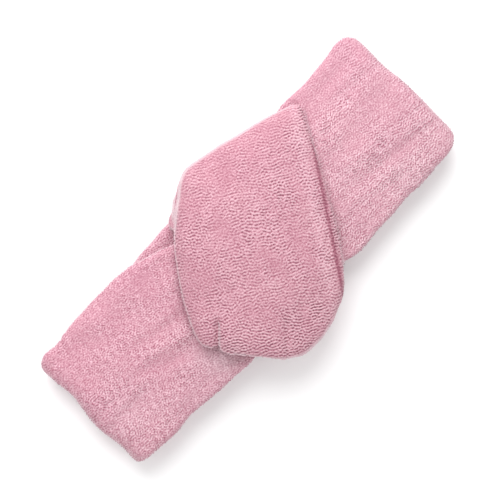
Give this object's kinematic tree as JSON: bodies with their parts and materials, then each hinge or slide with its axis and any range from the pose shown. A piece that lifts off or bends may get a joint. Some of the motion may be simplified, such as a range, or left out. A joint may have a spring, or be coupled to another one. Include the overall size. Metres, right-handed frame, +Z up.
{
  "type": "spa headband",
  "caption": "Soft pink terry spa headband: an elastic-backed loop of towelling band lying flat, gathered at the front under a broad slanting wrapped knot.",
  "frame": {"origin": "on the resting surface, under the middle of the band's length", "axes": "+X along the flat band, towards the arm that leaves the knot's long tip; +Y across the band, towards the top of the head when worn; +Z up, out of the front of the knot"},
  "size_m": [0.24, 0.1115, 0.034],
  "materials": {
    "band_terry": "matte looped pile",
    "knot_terry": "matte ribbed looped pile",
    "lining_terry": "matte short looped pile",
    "thread": "satin spun thread",
    "elastic": "matte ribbed weave"
  },
  "bodies": {
    "back_centre": {"casing_centre_outer": "band_terry", "casing_centre_inner": "lining_terry", "elastic_centre": "elastic"},
    "back_left": {"tab_left_outer": "band_terry", "tab_left_lining": "lining_terry", "side_seam_left": "thread", "casing_left_outer": "band_terry", "casing_left_inner": "lining_terry", "elastic_left": "elastic", "elastic_tack_left": "thread"},
    "arm_left": {"arm_left_outer": "band_terry", "arm_left_lining": "lining_terry", "arm_left_seam": "thread", "fold_left_outer": "band_terry", "fold_left_lining": "lining_terry"},
    "knot": {"knot_wrap_outer": "knot_terry", "knot_wrap_lining": "lining_terry", "knot_wrap_seam": "thread", "knot_gather_left": "lining_terry", "knot_gather_right": "lining_terry", "knot_gather_seam": "thread", "front_left_outer": "band_terry", "front_left_lining": "lining_terry", "front_left_seam": "thread", "front_right_outer": "band_terry", "front_right_lining": "lining_terry", "front_right_seam": "thread"},
    "arm_right": {"arm_right_outer": "band_terry", "arm_right_lining": "lining_terry", "arm_right_seam": "thread", "fold_right_outer": "band_terry", "fold_right_lining": "lining_terry"},
    "fold_right": {"tab_right_outer": "band_terry", "tab_right_lining": "lining_terry", "side_seam_right": "thread"},
    "back_right": {"casing_right_outer": "band_terry", "casing_right_inner": "lining_terry", "elastic_right": "elastic", "elastic_tack_right": "thread"}
  },
  "joints": [
    {"name": "back_left_lift", "type": "hinge", "parent": "back_centre", "child": "back_left", "pos_m": [-0.03, 0, 0.0076], "axis": [0, 1, 0], "range_deg": [0, 45]},
    {"name": "back_right_lift", "type": "hinge", "parent": "back_centre", "child": "back_right", "pos_m": [0.03, 0, 0.0076], "axis": [0, -1, 0], "range_deg": [0, 45]},
    {"name": "left_fold", "type": "hinge", "parent": "back_left", "child": "arm_left", "pos_m": [-0.11, 0, 0.01], "axis": [0, -1, 0], "range_deg": [0, 115]},
    {"name": "knot_left_bend", "type": "hinge", "parent": "arm_left", "child": "knot", "pos_m": [-0.076, 0, 0.0124], "axis": [0, 1, 0], "range_deg": [0, 70]},
    {"name": "knot_right_bend", "type": "hinge", "parent": "knot", "child": "arm_right", "pos_m": [0.076, 0, 0.0124], "axis": [0, 1, 0], "range_deg": [0, 70]},
    {"name": "right_fold", "type": "hinge", "parent": "arm_right", "child": "fold_right", "pos_m": [0.11, 0, 0.01], "axis": [0, -1, 0], "range_deg": [0, 115]}
  ],
  "couplings": [
    {"joint": "back_right_lift", "follows": "back_left_lift", "ratio": 1},
    {"joint": "left_fold", "follows": "back_left_lift", "ratio": 2.555},
    {"joint": "knot_left_bend", "follows": "back_left_lift", "ratio": 1.555},
    {"joint": "knot_right_bend", "follows": "back_left_lift", "ratio": 1.555},
    {"joint": "right_fold", "follows": "back_left_lift", "ratio": 2.555}
  ]
}
